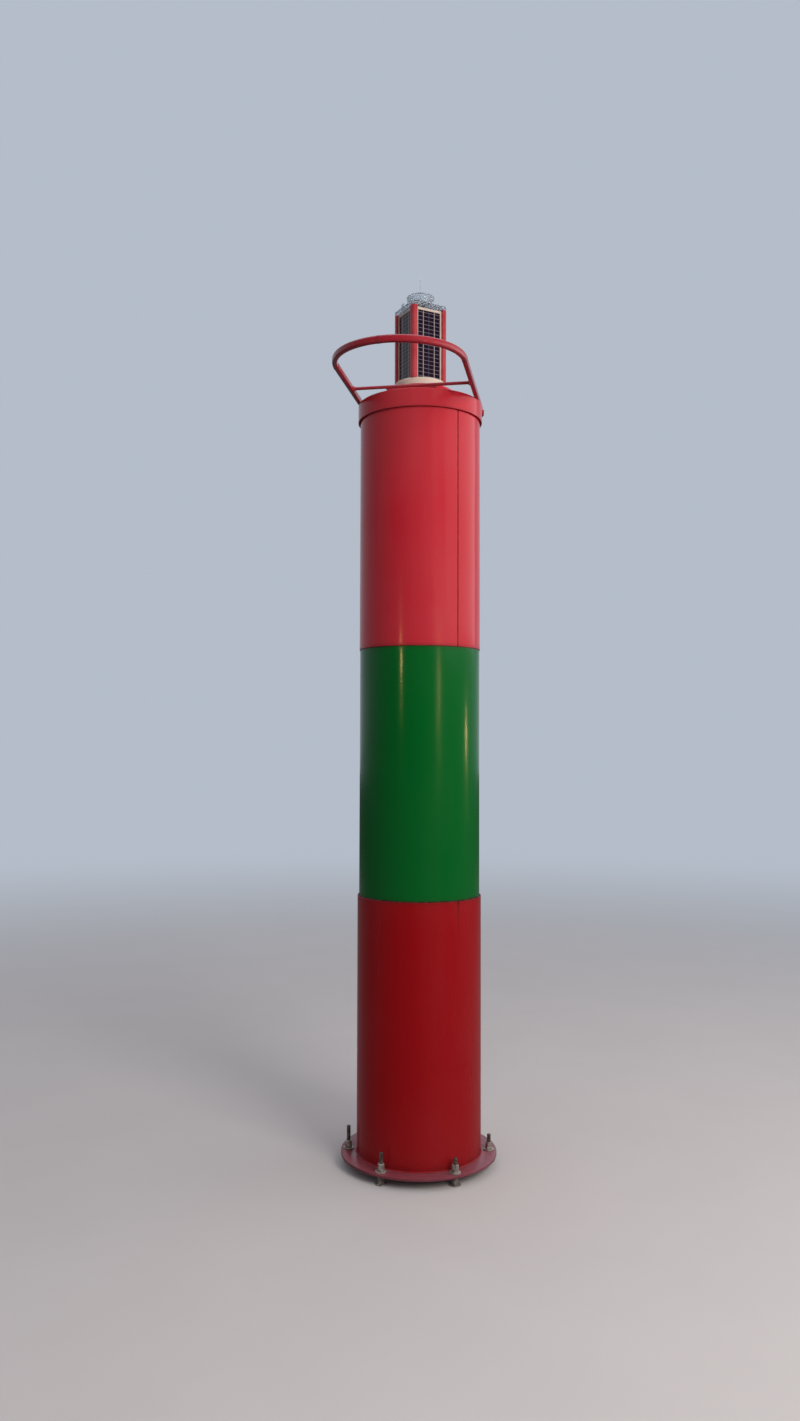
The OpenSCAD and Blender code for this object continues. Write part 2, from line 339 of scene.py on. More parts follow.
def dipped_zinc(name, bright, dark, rust):
    """Hot-dip galvanised steel, weathered: dull grey with paler bloom, and brown rust where water sits."""
    made, tree, shader, place = blank(name)
    bloom = spots(tree, place, 0.006, 0.35, 0.65, 4.0)
    stain = spots(tree, place, 0.010, 0.50, 0.68, 5.0)
    in_creases = add(tree, "Math", TIMES, {0: grime_and_shade_mask(tree), 1: 0.6})
    brown = add(tree, "Math", {**TIMES_PLUS, **HELD}, {0: stain, 1: 0.45, 2: in_creases})
    coat = add(tree, "Mix", COLOURS, {0: bloom, 6: dark, 7: bright})
    fill(tree, shader, {
        "Base Color": add(tree, "Mix", COLOURS, {0: brown, 6: coat, 7: rust}),
        "Roughness": add(tree, "Math", TIMES_PLUS, {0: brown, 1: 0.35, 2: 0.42}),
        "Metallic": add(tree, "Math", TIMES_PLUS, {0: brown, 1: -0.4, 2: 0.45}),
        "Normal": relief(tree, place, 400.0, 3.0, 0.35, 0.0004)})
    return made


def moulded_asa(name, colour, faded, rough):
    """Moulded ASA, sun-worn: an even colour, slightly bleached in patches, with a fine spark texture."""
    made, tree, shader, place = blank(name)
    bleach = spots(tree, place, 0.045, 0.35, 0.7, 3.0)
    tint = add(tree, "Mix", COLOURS, {0: add(tree, "Math", TIMES, {0: bleach, 1: 0.5}), 6: colour, 7: faded})
    soiled = add(tree, "Math", TIMES, {0: grime_and_shade_mask(tree), 1: 0.7})
    fill(tree, shader, {
        "Base Color": add(tree, "Mix", COLOURS, {0: soiled, 6: tint, 7: linear("#3A3230")}),
        "Roughness": add(tree, "Math", TIMES_PLUS, {0: bleach, 1: 0.12, 2: rough}),
        "IOR": 1.51,
        "Normal": relief(tree, place, 900.0, 2.0, 0.25, 0.00015)})
    return made


def solar_laminate(name, wide, tall, columns, rows, cell, thread, busbar):
    """Silicon cells under glass: nearly black violet cells, thin pale gaps, wider cream ribbons, flat front.

    The piece's UV map runs in metres from the pane's middle. Each gap is where the distance to the nearest
    cell edge is under its half width; the ribbons stand one column in from each side.
    """
    made, tree, shader, _ = blank(name)
    face = add(tree, "UVMap", {"uv_map": "face"})
    way = add(tree, "SeparateXYZ", {}, {0: face}).outputs
    column, row = wide / columns, tall / rows
    column_gap, row_gap, ribbon = 0.0006, 0.0011, 0.0016

    def line(along, pitch, half, offset=0.0):
        """1 where a position is within half of a multiple of the pitch."""
        shifted = add(tree, "Math", {"operation": "ADD"}, {0: along, 1: offset})
        gap = add(tree, "Math", {"operation": "PINGPONG"}, {0: shifted, 1: pitch / 2})
        return add(tree, "MapRange", SMOOTH, {"Value": gap, "From Min": half * 1.25, "From Max": half * 0.75})

    gaps = add(tree, "Math", LARGER, {0: line(way["X"], column, column_gap), 1: line(way["Y"], row, row_gap)})
    tone = add(tree, "TexNoise", {}, {"Vector": face, "Scale": 60.0})
    silicon = add(tree, "Mix", COLOURS, {0: tone, 6: cell, 7: linear("#281C30")})
    backing = add(tree, "Math", TIMES, {0: gaps, 1: 0.85})
    silicon = add(tree, "Mix", COLOURS, {0: backing, 6: silicon, 7: thread})
    ribbons = line(way["X"], column * 2, ribbon, column)
    # The cells lie bonded under the glass, so only its front mirrors, and that is etched against glare
    fill(tree, shader, {"Base Color": add(tree, "Mix", COLOURS, {0: ribbons, 6: silicon, 7: busbar}),
                        "Roughness": 0.5, "Specular IOR Level": 0.0,
                        "Coat Weight": 1.0, "Coat Roughness": 0.03, "Coat IOR": 1.33})
    return made


def clear_moulding(name, tint, index, rough, in_lamplight):
    """Clear moulded plastic: seen through, with bright bent edges; haze from sun and salt varies its gloss.

    Part of the light goes straight through, which stands for the thin walls' weak bending, and the share that
    goes through from a lamp is set apart, so that lamps shine in.
    """
    made, tree, shader, place = blank(name)
    to_the_eye = 0.70
    haze = spots(tree, place, 0.012, 0.35, 0.8, 4.0)
    lamplight = add(tree, "LightPath").outputs["Is Shadow Ray"]
    solid = add(tree, "Math", TIMES_PLUS, {0: lamplight, 1: in_lamplight - to_the_eye, 2: to_the_eye})
    shader.inputs["Alpha"].default_value = to_the_eye
    fill(tree, shader, {"Base Color": tint, "Transmission Weight": 0.92, "IOR": index, "Alpha": solid,
                        "Roughness": add(tree, "Math", TIMES_PLUS, {0: haze, 1: 0.05, 2: rough})})
    return made


# Sizes and colours


def colour(name, code, text):
    """A colour property with its default written in sRGB hex."""
    return FloatVectorProperty(name=name, description=text, subtype="COLOR", size=4, min=0, max=1,
                               default=linear(code))


def length(name, default, text, **limits):
    """A length property in metres."""
    return FloatProperty(name=name, description=text, default=default, unit="LENGTH", **limits)


def angle(name, radians, text):
    """An angle property."""
    return FloatProperty(name=name, description=text, default=radians, subtype="ANGLE")


def whole(name, default, text, least, most):
    """A whole-number property."""
    return IntProperty(name=name, description=text, default=default, min=least, max=most)


def watts(name, default, text):
    """A property for a lamp's power."""
    return FloatProperty(name=name, description=text, default=default, unit="POWER")


class ColumnSettings(bpy.types.PropertyGroup):
    """The column's paint, seams and welds."""

    # The upper red is brighter than the lower red partly as painted light, since the column is lit more
    # strongly higher up, and partly from sun fading
    upper_red: colour("Upper red", "#CC2533", "Enamel of the upper band, faded by the sun")
    lower_red: colour("Lower red", "#A3060F", "Enamel of the lower band")
    green: colour("Green", "#006523", "Enamel of the middle band")
    plate_red: colour("Plate red", "#84303A", "Trodden, dusty enamel of the base plate")
    guard_red: colour("Guard red", "#A8222F", "Enamel of the guard and its lugs")
    seam_at: angle("Seam direction", np.radians(36.4), "Direction of the plate seam, from the front")
    seam_width: length("Seam width", 0.0040, "Width of the seam's groove", min=0.0005, max=0.01)
    wave: length("Plate waves", 0.0004, "Height of the rolled plate's slow waves", min=0, max=0.002)
    weld: length("Weld size", 0.0030, "Radius of the weld at the foot of the column", min=0.001, max=0.01)


class AnchorSettings(bpy.types.PropertyGroup):
    """The studs and their nuts and washers."""

    count: whole("Studs", 6, "Number of anchor studs", 3, 12)
    circle: length("Stud circle", 0.281, "Radius of the circle the studs stand on")
    first: angle("First stud", np.radians(-31.5), "Direction of the first stud from the front")
    pitch: length("Thread pitch", 0.002, "Distance between two turns of the thread", min=0.001, max=0.004)
    flats: length("Nut flats", 0.024, "Width of a nut across its flats")
    zinc_light: colour("Zinc bloom", "#CDC3B9", "Paler bloom on the zinc")
    zinc_dark: colour("Zinc", "#857C74", "Dull grey of the zinc")
    rust: colour("Rust", "#4A2C20", "Rust stains")
    stud_light: colour("Stud bloom", "#6E6258", "Paler bloom on the studs")
    stud_dark: colour("Stud", "#433A35", "Brown-grey of the studs")


class LanternSettings(bpy.types.PropertyGroup):
    """The solar lantern."""

    turn: angle("Turn", np.radians(28.5), "Turn of the square lantern from the front")
    recess: length("Recess", 0.009, "How far the panel frames lie behind the posts", min=0.001, max=0.010)
    columns: whole("Cell columns", 4, "Columns of cells on a panel", 1, 12)
    rows: whole("Cell rows", 17, "Rows of cells on a panel", 1, 40)
    post_red: colour("Post red", "#B62A33", "Moulded corner posts")
    cream: colour("Cream", "#DCC8B6", "Moulded foot and panel frames")
    cell: colour("Cells", "#120A1A", "Silicon cells")
    gap: colour("Cell gaps", "#84767F", "Backing seen between the cells")
    ribbon: colour("Ribbons", "#AC9E97", "Tinned ribbons along the cells")


class StageSettings(bpy.types.PropertyGroup):
    """The camera, the lamps and the floor."""

    lens: FloatProperty(name="Lens", description="Focal length on a 36 mm sensor", default=27.58,
                        unit="CAMERA")
    eye: FloatVectorProperty(name="Eye", description="Place of the camera", size=3, subtype="TRANSLATION",
                             default=(-0.079, -4.419, 1.660))
    tilt: angle("Tilt", 0.0323, "How far the camera looks up")
    roll: angle("Roll", -0.0027, "How far the camera leans")
    key: watts("Key", 180.0, "Power of the soft lamp at the front right")
    side: watts("Side", 70.0, "Power of the broad dim lamp at the right")
    glint: watts("Glints", 12.0, "Power of each small warm lamp behind the camera")
    daylight: FloatProperty(name="Daylight", description="Level of the even light all round", default=0.30)
    background: colour("Background", "#B4BDC9", "Pale grey-blue background")
    floor: colour("Floor", "#D2CBC8", "Pale plain floor")


# Pieces


def settings():
    """This scene's settings, by group."""
    scene = bpy.context.scene
    return scene.light_column, scene.light_anchors, scene.light_lantern, scene.light_stage


def shared(name, make, *args, **more):
    """A finish, made once and shared by the pieces that wear it."""
    return bpy.data.materials.get(name) or make(name, *args, **more)


# Each enamel's colour setting, and how it differs from a usual one
ENAMELS = {
    "red enamel, lower": ("lower_red", {"dull": 0.22, "wear_and_glare": 0.16}),
    "green enamel": ("green", {"dull": 0.15, "wear_and_glare": 0.16}),
    "red enamel, upper": ("upper_red", {"dull": 0.15}),
    "red enamel, guard": ("guard_red", {"dull": 0.18, "film": 0.5}),
    # Painted reflection: the plate's many pale patches stand for glare on it as well as for worn, dusty paint
    "red enamel, trodden, painted glare": ("plate_red", {"faded": linear("#B0707C"), "dirt_and_shade_tint": linear("#4A3438"),
                                          "dull": 0.30, "dust": 0.12, "wear_and_glare": 0.75, "film": 0.4}),
}


def enamel(name):
    """One of the enamels. Where it has no faded tint of its own, that is its colour made a little chalky."""
    setting, more = ENAMELS[name]
    tint = np.array(getattr(settings()[0], setting))
    chalky = np.minimum([*(tint[:3] * 0.94 + 0.10 * tint[:3].max() + 0.004), 1.0], 1.0)
    more = {"faded": tuple(chalky.tolist()), "dirt_and_shade_tint": linear("#2A1614"), **more}
    return shared(name, gloss_enamel, tuple(tint.tolist()), **more)


def zinc(name="weathered zinc"):
    """The weathered zinc of the nuts and washers, or the browner steel of the studs."""
    anchors = settings()[1]
    light, dark = anchors.zinc_light, anchors.zinc_dark
    if "stud" in name:
        light, dark = anchors.stud_light, anchors.stud_dark
    return shared(name, dipped_zinc, tuple(light), tuple(dark), tuple(anchors.rust))


def lantern_axis():
    """Where the lantern's own upright axis stands: the middle of its round foot."""
    middle = (low("lantern_foot") + high("lantern_foot")) / 2
    return np.array([middle[0], middle[1], 0.0])


def on_sides(*parts):
    """Nets that face -Y from the upright axis, copied to the four sides of the turned lantern."""
    turn, axis = np.degrees(settings()[2].turn), lantern_axis()
    return [moved(part, axis, turn + 90 * side) for side in range(4) for part in parts]


def bead(radius, height, size, ripple=0.0055, grime_and_shade=0.25):
    """A fillet weld round a tube: a ring of round section whose thickness swells once for each ripple."""
    ripples = TURN * radius / ripple
    a, b = directions(int(4 * ripples)), directions(10)[:, None]
    swell = size * (1 + 0.10 * np.abs(np.sin(a * ripples / 4)) + 0.06 * np.sin(7 * a))
    lift = size * 0.15
    ring = around(radius + lift + swell * np.cos(b), a, height + lift + swell * np.sin(b))
    return net(ring, closed_rows=True, grime_and_shade=grime_and_shade)


class DressBands(bpy.types.Operator):
    """Build the three painted bands of the column"""

    bl_idname = "quay_light.bands"
    bl_label = "Column bands"

    def execute(self, context):
        column = settings()[0]
        ring_t, ring_w = 0.008, 0.032
        bore = high("shell_middle")[0] - WALL - ring_w
        rim, skin, groove, head_shade_and_dirt = 0.0015, 0.002, 0.0020, 0.004
        # Each band's enamel and slot, and how high the painted shade and soiling at its foot reach
        bands = (("lower", "red enamel, lower", "red_paint", 0.022),
                 ("middle", "green enamel", "green_paint", 0.004),
                 ("upper", "red enamel, upper", "red_paint", 0.005))
        for k, (where, finish, slot, foot_shade_and_dirt) in enumerate(bands):
            node = "shell_" + where
            radius, bottom, top = high(node)[0], low(node)[2], high(node)[2]
            inner, floor, ceiling = radius - WALL, bottom + ring_t, top - ring_t
            profile = rounded([[bore, bottom], [radius, bottom], [radius, top], [bore, top], [bore, ceiling],
                               [inner, ceiling], [inner, floor], [bore, floor]], [0, rim, rim, 0, 0, 0, 0, 0])
            split = int(np.argmax(profile[:, 1] > (bottom + top) / 2))
            rise = np.linspace(bottom + 2 * rim, top - 2 * rim, 90)
            profile = np.vstack([profile[:split], np.stack([0 * rise + radius, rise], 1), profile[split:]])
            # Closer columns of faces at the seam, which the middle band has at the back
            seam = column.seam_at if where != "middle" else np.pi
            near = seam + np.linspace(-3, 3, 17) * column.seam_width / radius
            far = np.linspace(near[-1], near[0] + TURN, 260)[1:-1]
            angles = np.concatenate([near, far])

            def open_seam(z):
                """How open the seam is: fully, but on the lower band less and less below its top."""
                return np.exp(-(top - z) / 0.075) + 0.06 if where == "lower" else 1.0 + 0 * z

            def bell(a, half):
                """A bell curve across the seam."""
                return np.exp(-(((a - seam) * radius / half) ** 2))

            def shape(r, a, z):
                """Slow waves, and a groove shaped as a bell curve at the seam, on the outer wall alone."""
                waves = np.sin(2 * a + 1.3 * k) * np.sin(4.1 * z + k) + 0.5 * np.sin(5 * a - z * 2.7)
                cut = groove * bell(a, column.seam_width / 2) * open_seam(z)
                return (r > radius - skin) * (column.wave * waves * 0.6 - cut)

            points = round_wall(profile, angles, shape)
            z = profile[:, 1:] + 0 * angles
            mark = bell(angles, column.seam_width * 0.6) * open_seam(z)
            # Painted shade: each band darkens at its foot and its head, a painted shadow line where the bands
            # meet, at the plate and under the lid's rim, with some soiling in it; the seam's line is darkened
            # too
            foot, head = np.exp(-(z - bottom) / foot_shade_and_dirt), np.exp(-(top - z) / head_shade_and_dirt)
            grime_and_shade = (profile[:, :1] > radius - skin) * (0.95 * mark + 0.55 * foot + 0.45 * head)
            band = net(points, closed_rows=True, grime_and_shade=np.clip(grime_and_shade, 0, 1))
            piece(where + "_band", [band], enamel(finish), [node])
        weld = bead(high("shell_lower")[0], low("shell_lower")[2], column.weld)
        piece("foot_weld", [weld], enamel("red enamel, lower"))
        # The seal is darkened all through: a painted shadow line where the green band sits on the lower one
        seal = bead(high("shell_middle")[0], high("shell_lower")[2], 0.0028, 0.02, grime_and_shade=1.0)
        piece("joint_seal", [seal], enamel("green enamel"))
        return {"FINISHED"}


class DressLid(bpy.types.Operator):
    """Build the lid with its rim, and the round pedestal on it"""

    bl_idname = "quay_light.lid"
    bl_label = "Lid and pedestal"

    def execute(self, context):
        red = enamel("red enamel, upper")
        radius, top, bottom = high("lid")[0], high("lid")[2], low("lid")[2]
        inner, ceiling, sides = radius - WALL, top - LID_T, 256
        profile = rounded([[0, top], [radius, top], [radius, bottom], [inner, bottom], [inner, ceiling],
                           [0, ceiling]], [0, 0.004, 0.0015, 0.0015, 0.002, 0])
        # Extra rings, so that the flat top and the rim keep their light even
        flat = np.array([[radius * 0.5, top], [radius - 0.006, top]])
        rim = np.array([[radius, z] for z in (ceiling, bottom + 0.012, bottom + 0.006, bottom + 0.003)])
        cut = int(np.argmax(profile[:, 0] > 0.01))
        wall = int(np.argmax(profile[:, 1] < bottom + 0.01))
        profile = np.vstack([profile[:cut], flat, profile[cut:wall], rim, profile[wall:]])
        # The rim is a little out of round
        points = round_wall(profile, sides, lambda r, a, z: (r > radius - 0.002) * 0.0004 * np.sin(3 * a + 1))
        z = profile[:, 1:] + np.zeros(sides)
        # Painted shade: the rim darkens towards its lower edge, a painted shadow line under the lid
        grime_and_shade = (profile[:, :1] > radius - 0.003) * 0.5 * np.exp(-(z - bottom) / 0.003)
        piece("lid_cap", [net(points, grime_and_shade=grime_and_shade)], red, ["lid"])

        foot, step, head = low("pedestal_drum")[2], low("pedestal_plate")[2], high("pedestal_plate")[2]
        drum_r, plate_r, soft = high("pedestal_drum")[0], high("pedestal_plate")[0], 0.0015
        drum = rounded([[drum_r - WALL, foot], [drum_r, foot], [drum_r, step], [drum_r - WALL, step]], 0.0006)
        plate = rounded([[0, step], [plate_r, step], [plate_r, head], [0, head]], [0, soft, soft, 0])
        piece("pedestal_tube", [net(round_wall(drum, 160), True, 0.1), bead(drum_r, foot, 0.0035)], red,
              ["pedestal_drum"])
        piece("pedestal_flange", [net(round_wall(plate, 160))], red, ["pedestal_plate"])
        return {"FINISHED"}


class DressGuard(bpy.types.Operator):
    """Build the bent guard, its crossbar, tab and lugs"""

    bl_idname = "quay_light.guard"
    bl_label = "Guard"

    def execute(self, context):
        red = enamel("red enamel, guard")
        turn, span, reach, back = -9.8, 0.238, 0.490, 0.106
        wide, tall, corner = 0.020, 0.027, 0.0095
        lid_top = high("lid")[2]
        height = lid_top + tall / 2
        # The path: up the left leg, round the bend, down the right leg
        leg = np.linspace(0, 1, 60)[1:-1]
        theta = np.linspace(0, np.pi, 150)
        left = np.stack([0 * leg - span, back - (back + reach) * leg], 1)
        bend = np.stack([-span * np.cos(theta), -reach - span * np.sin(theta)], 1)
        path = np.vstack([[[-span, back]], left, bend, left[::-1] * [-1, 1], [[span, back]]])
        run = np.concatenate([[0], np.cumsum(np.linalg.norm(np.diff(path, axis=0), axis=1))])
        ahead = np.gradient(path, axis=0)
        ahead /= np.linalg.norm(ahead, axis=1, keepdims=True)
        side = np.stack([ahead[:, 1], -ahead[:, 0], 0 * run], 1)
        # Ground-back welds where the bend meets the legs and near its middle: low swellings along the tube
        weld_half, weld_h, soft = 0.005, 0.0009, 0.002
        first, on_bend = back + reach, np.pi * span * (0.5 - 8 / 180)
        welds = np.array([first, first + on_bend, run[-1] - first])
        swell = np.exp(-(((run[:, None] - welds) / weld_half) ** 2)).sum(1)
        inset = -weld_h * swell
        inset[[0, -1]] = soft
        inset[[1, -2]] = 0.0
        # Both end points come twice, so that the tube closes on its ends' poles
        ends = np.pad(np.arange(len(run)), 1, "edge")
        shrink = np.pad(np.ones(len(run)), 1)
        path = np.column_stack([path, 0 * run + height])[ends]
        hoop = carried(oblong(wide, tall, corner, 7), path, side[ends], Z, inset[ends], shrink)
        marks = np.broadcast_to(0.35 * swell[ends, None], hoop.shape[:2])
        piece("guard_hoop", [net(turned(hoop, turn), grime_and_shade=np.clip(marks, 0, 1))], red,
              ["guard_bend", "guard_leg_left", "guard_leg_right"])

        # Round crossbar, flared by its welds at both ends
        half, bar_y, bar_r, flare_h = span - wide / 2 + 0.001, -0.231, 0.0065, 0.0045
        x = np.concatenate([np.linspace(-half, -half + 0.012, 12), np.linspace(-half + 0.02, half - 0.02, 30),
                            np.linspace(half - 0.012, half, 12)])
        x, closed = np.pad(x, 1, "edge"), np.pad(np.ones(len(x)), 1)
        flare = flare_h * np.exp(-(((half - np.abs(x)) / flare_h) ** 2))
        a = directions(24)
        rod = carried(bar_r * np.stack([np.cos(a), np.sin(a)], 1),
                      np.column_stack([x, 0 * x + bar_y, 0 * x + height]), Y, Z, -flare, closed)
        shade = np.broadcast_to(0.35 * flare[:, None] / flare_h, rod.shape[:2])
        piece("guard_rod", [net(turned(rod, turn), grime_and_shade=shade)], red, ["guard_crossbar"])

        # Tab under the crossbar: a slanted plate
        tab_h, slant, half_w, half_t = tall / 2 - bar_r + 0.001, 0.009, 0.103, 0.003
        middle = lid_top + tab_h / 2
        outline = rounded([[-half_w + slant, -tab_h / 2], [half_w - slant, -tab_h / 2], [half_w, tab_h / 2],
                           [-half_w, tab_h / 2]], 0.0012)
        tab = bar(outline, [0, bar_y - half_t, middle], [0, bar_y + half_t, middle], X, Z, 0.0008)
        piece("guard_foot", [net(turned(tab, turn))], red, ["guard_tab"])

        # Lugs at the rim: a block bent to the rim's curve, with soft ends
        lug_t, lug_h, lug_from, lug_wide, gap = 0.013, 0.023, 106, 10, 0.0003
        t = np.radians(np.concatenate([[0, 0, 0.15, 0.5], np.linspace(1, 9, 9), [9.5, 9.85, 10, 10]]))
        tuck = 0.0012 * np.array([1.3, 1.3, 0.4, 0.0] + [0.0] * 9 + [0.0, 0.4, 1.3, 1.3])
        closed = np.pad(np.ones(len(t) - 2), 1)
        lugs = []
        for start in (turn + lug_from, turn - lug_from - lug_wide):
            out = around(1.0, np.radians(start) + t, 0.0)
            path = out * (high("lid")[0] + gap + lug_t / 2) + [0, 0, lid_top - lug_h / 2]
            lugs.append(net(carried(oblong(lug_t, lug_h, 0.002), path, out, Z, tuck, closed)))
        piece("guard_ears", lugs, red, ["guard_lugs"])
        return {"FINISHED"}


class DressAnchors(bpy.types.Operator):
    """Build the base plate, the threaded studs, their nuts and washers"""

    bl_idname = "quay_light.anchors"
    bl_label = "Base plate and anchors"

    def execute(self, context):
        anchors = settings()[1]
        metal, stud_metal = zinc(), zinc("weathered stud steel")
        stud_r, bore, washer_r, washer_bore = 0.0077, 0.008, 0.022, 0.0092
        softened("base_plate", "foot_plate", 0.0012, enamel("red enamel, trodden, painted glare"))
        plate = high("base_plate")[2]
        spins = np.degrees(anchors.first) + 360 / anchors.count * np.arange(anchors.count)
        places = around(anchors.circle, np.radians(spins), 0.0)

        def thread(bottom, top):
            """A screw thread: the radius falls and rises once a pitch, and the wave climbs a pitch a turn."""
            a = directions(20)
            z = np.arange(bottom, top, anchors.pitch / 5)[:, None]
            wave = np.abs((z / anchors.pitch - a / TURN) % 1 - 0.5) * 2
            blunt = np.clip((top - z) / 0.0015, 0.35, 1)
            rows = around((stud_r - 0.0009 * wave) * blunt**0.25, a, z)
            return np.concatenate([around(0 * a[None], a, bottom), rows, around(0 * a[None], a, top)])

        def nut(bottom, height):
            """A hexagon nut: the flats, cut by a 30 degree cone at each end; inside, a plain bore."""
            a = directions(48)
            chamfer = 0.0008
            z = np.concatenate([[0], np.linspace(0, 0.16, 5)[1:], [0.5], np.linspace(0.84, 1, 5)[:-1], [1]])
            z = z[:, None] * height
            fold = (a + np.pi / 6) % (np.pi / 3) - np.pi / 6
            flat = anchors.flats / 2
            outer = np.minimum(flat / np.cos(fold), flat * 0.97 + 1.73 * np.minimum(z, height - z))
            hole = np.array([[bore + chamfer], [bore], [bore], [bore + chamfer]]) + 0 * a
            down = np.array([[height], [height - chamfer], [chamfer], [0]])
            return around(np.concatenate([outer, hole]), a, np.concatenate([z, down]) + bottom)

        def washer(bottom):
            """A flat washer with soft rims."""
            top = bottom + WASHER_T
            ring = [[washer_bore, bottom], [washer_r, bottom], [washer_r, top], [washer_bore, top]]
            return round_wall(rounded(ring, 0.0006), 40)

        # Heights that differ as hand-set ones do, as in the CAD, and each nut stopped at a turn of its own
        share = np.array([0.5, 1, 0.85, 0.3, 0.6, 0])
        tops = plate + 0.090 - 0.033 * share
        tilt = np.array([12, 47, 31, 5, 22, 40, 17, 51])
        studs, low_nuts, high_nuts = [], [], []
        for i, (at, spin) in enumerate(zip(places, spins)):
            studs.append(moved(net(thread(0.0, tops[i % 6]), grime_and_shade=0.15), at))
            low_nuts.append(moved(net(nut(WASHER_T, 2 * NUT_H), True, 0.45), at, spin + tilt[i % 8]))
            for k in (0, 1):
                high_nuts.append(moved(net(nut(plate + WASHER_T + NUT_H * k, NUT_H), True, 0.12), at,
                                       spin + tilt[(i + 3 * k) % 8]))
        piece("threaded_studs", studs, stud_metal, ["anchor_studs"], crisp=60)
        piece("level_nuts", low_nuts, metal, ["levelling_nuts"], crisp=30)
        piece("locked_nuts", high_nuts, metal, ["clamp_nuts"], crisp=30)
        for name, node, bottom in (("floor_washers", "foot_washers", 0.0),
                                   ("lower_washers", "under_washers", low("base_plate")[2] - WASHER_T),
                                   ("upper_washers", "clamp_washers", plate)):
            rings = [moved(net(washer(bottom), True, 0.3), at) for at in places]
            piece(name, rings, metal, [node])
        return {"FINISHED"}


class DressLantern(bpy.types.Operator):
    """Build the lantern's foot, posts, panel frames, cells and core"""

    bl_idname = "quay_light.lantern"
    bl_label = "Lantern body"

    def execute(self, context):
        lantern = settings()[2]
        cream = shared("cream moulded ASA", moulded_asa, tuple(lantern.cream), linear("#EADBCB"), 0.42)
        red = shared("red moulded ASA", moulded_asa, tuple(lantern.post_red), linear("#C4555A"), 0.30)
        bottom, top = low("lantern_posts")[2], high("lantern_posts")[2]

        # Foot: a disc with a small step under its soft upper edge
        foot, foot_r, step_r = low("lantern_foot")[2], 0.105, 0.1035
        disc = rounded([[0, foot], [foot_r, foot], [foot_r, bottom - 0.007], [step_r, bottom - 0.005],
                        [step_r, bottom], [0, bottom]], [0, 0.001, 0.001, 0.0006, 0.003, 0])
        disc = np.vstack([disc[:-1], [[0.098, bottom]], disc[-1:]])
        piece("lantern_base", [moved(net(round_wall(disc, 160), grime_and_shade=0.05), lantern_axis())], cream,
              ["lantern_foot"])

        # Corner posts: a square section whose outer corner is rounded far more than the others
        w = POST / 2
        middle = HALF_BODY - w
        radii = [0.0008, 0.0012, POST_CORNER * 1.5, 0.0012]
        section = rounded([[-w, -w], [w, -w], [w, w], [-w, w]], radii, 9)
        post = bar(section, [middle, middle, bottom], [middle, middle, top], X, Y, 0.0008)
        piece("corner_posts", on_sides(net(post)), red, ["lantern_posts"])

        # Panel frames: a ring between two soft rectangles
        wide, tall = 2 * (HALF_BODY - POST), high("panel_frames")[2] - bottom
        side, base, head, deep, rim = 0.007, 0.005, 0.010, 0.006, 0.0006
        face = HALF_BODY - lantern.recess
        rear = face - deep
        cells_wide, cells_tall, middle = wide - 2 * side, tall - base - head, tall / 2 + (base - head) / 2
        outer = oblong(wide, tall, 0.001)
        inner = oblong(cells_wide, cells_tall, 0.001) + [0, middle - tall / 2]
        mix = np.array([0, 0, rim / side, 1 - rim / side, 1, 1])[:, None, None]
        depth = np.array([rear, face - rim, face, face, face - rim, rear])[:, None] + np.zeros(len(outer))
        flat = outer[None] * (1 - mix) + inner[None] * mix
        ring = np.stack([flat[..., 0], -depth, flat[..., 1] + bottom + tall / 2], -1)
        frames = on_sides(net(ring, closed_rows=True, grime_and_shade=0.08))
        piece("panel_bezels", frames, cream, ["panel_frames"])

        # Panes: the UV map runs in metres from the pane's middle
        pane = bar(oblong(cells_wide, cells_tall, 0.0008), [0, -rear - 0.0038, bottom + middle],
                   [0, -rear - 0.0002, bottom + middle], X, Z, 0.0004)
        uv = np.stack([pane[..., 0], pane[..., 2] - bottom - middle], -1)
        glass = solar_laminate("solar laminate", cells_wide, cells_tall, lantern.columns, lantern.rows,
                               tuple(lantern.cell), tuple(lantern.gap), tuple(lantern.ribbon))
        piece("solar_panes", on_sides(net(pane, uv=uv)), glass, ["panel_glass"])

        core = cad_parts["lantern_core"]
        core.data.materials.clear()
        core.data.materials.append(shared("black moulded ASA", moulded_asa, linear("#17161B"),
                                          linear("#2B2A30"), 0.5))
        return {"FINISHED"}


